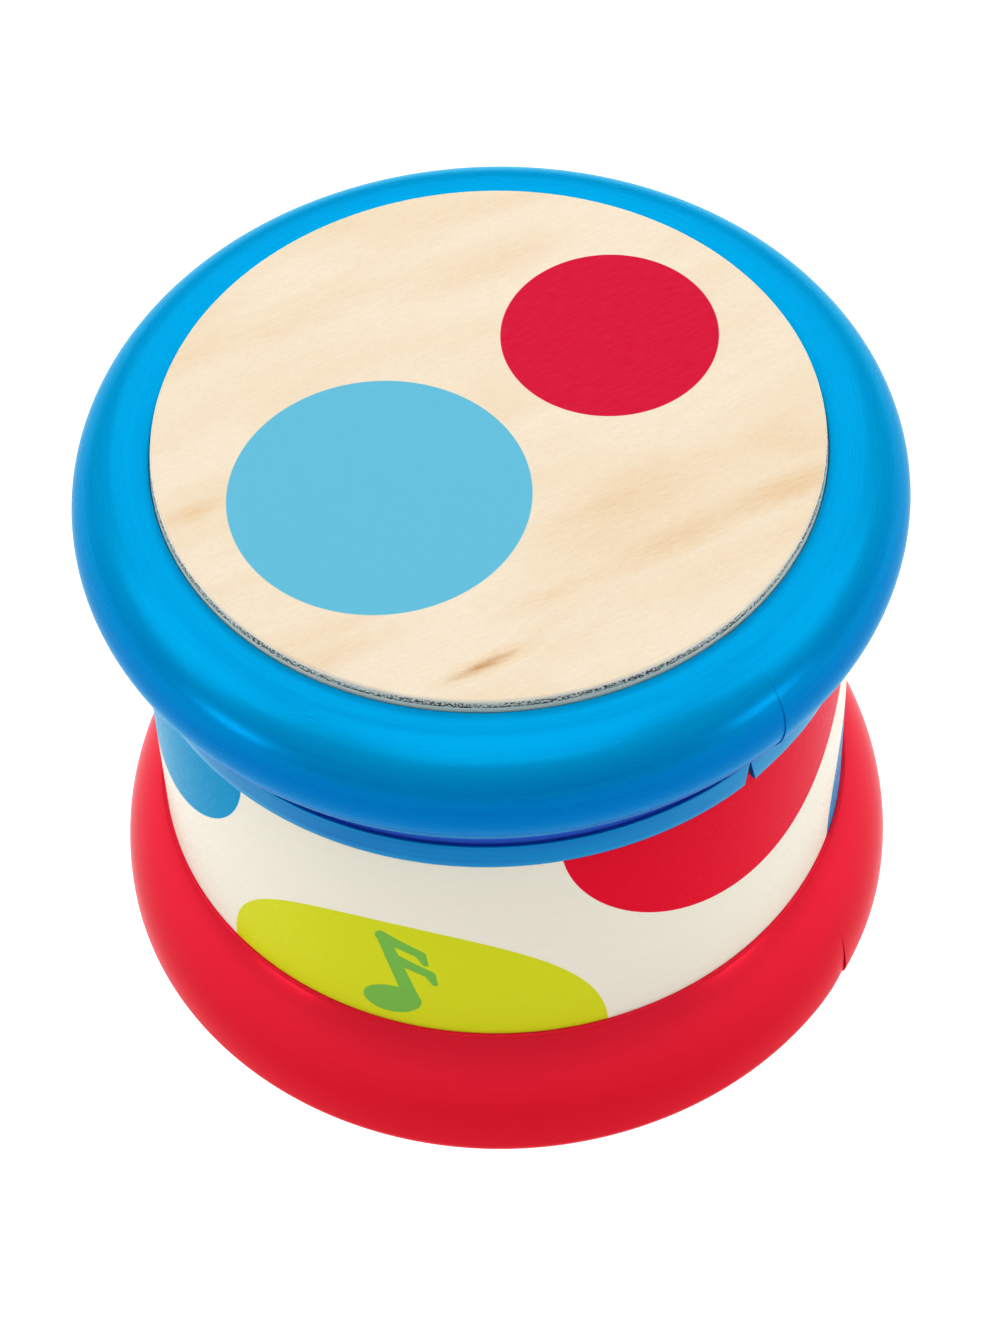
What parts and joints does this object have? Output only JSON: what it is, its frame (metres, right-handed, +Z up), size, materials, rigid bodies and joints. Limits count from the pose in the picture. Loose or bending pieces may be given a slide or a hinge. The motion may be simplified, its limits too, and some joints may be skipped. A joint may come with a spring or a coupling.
{
  "type": "toy drum",
  "caption": "Small baby's drum with a sprung plywood head in a round blue rim, a printed plywood shell and a flared red foot rim; sound board, speaker and battery bay inside.",
  "frame": {"origin": "on the floor, under the centre of the drum", "axes": "+Z up along the drum's axis; -Y towards the side that the picture shows; +X to the right of that side"},
  "size_m": [0.123, 0.123, 0.1],
  "materials": {
    "head_wood": "clear matt lacquer, two printed spots",
    "blue_rim": "smooth soft gloss",
    "shell_print": "gloss paint with printed spots",
    "red_rim": "smooth soft gloss",
    "white_plastic": "moulded, fine grain",
    "red_plastic": "moulded, fine grain",
    "dark_plastic": "moulded, satin",
    "board_green": "lacquered board",
    "steel": "zinc plated",
    "speaker_metal": "pressed sheet",
    "magnet": "bare ferrite",
    "cone_paper": "pressed pulp",
    "foam": "foam",
    "dome_rubber": "silicone rubber",
    "cell_jacket": "plain jacket",
    "wire_red": "insulation",
    "wire_black": "insulation"
  },
  "bodies": {
    "drum": {"top_rim": "blue_rim", "shell": "shell_print", "bottom_rim": "red_rim", "head_springs": "steel", "top_deck": "white_plastic", "circuit_board": "board_green", "board_parts": "dark_plastic", "board_screws": "steel", "switch_dome": "dome_rubber", "bottom_tray": "red_plastic", "case_screws": "steel", "speaker_frame": "speaker_metal", "speaker_magnet": "magnet", "speaker_cone": "cone_paper", "speaker_gasket": "foam", "speaker_screws": "steel", "battery_cells": "cell_jacket", "contact_plates": "steel", "contact_springs": "steel", "switch_body": "dark_plastic", "power_wires": "wire_red", "speaker_wires": "wire_black"},
    "head": {"drum_head": "head_wood", "head_carrier": "white_plastic", "post_washers": "steel", "post_screws": "steel"},
    "battery_door": {"battery_door": "red_plastic"},
    "door_screw": {"door_screw": "steel"},
    "power_slider": {"power_slider": "white_plastic"}
  },
  "joints": [
    {"name": "head_press", "type": "slide", "parent": "drum", "child": "head", "axis": [0, 0, -1], "range_m": [0, 0.0012], "stiffness_N_per_m": 1500, "springref_m": -0.0008, "deforming": ["head_springs", "switch_dome"]},
    {"name": "battery_door_swing", "type": "hinge", "parent": "drum", "child": "battery_door", "pos_m": [-0.021, -0.029, 0.003], "axis": [-1, 0, 0], "range_deg": [0, 60]},
    {"name": "door_screw_turn", "type": "hinge", "parent": "battery_door", "child": "door_screw", "pos_m": [-0.021, 0.0322, 0.005], "axis": [0, 0, 1], "continuous": true},
    {"name": "power_slide", "type": "slide", "parent": "drum", "child": "power_slider", "axis": [1, 0, 0], "range_m": [0, 0.004]}
  ]
}
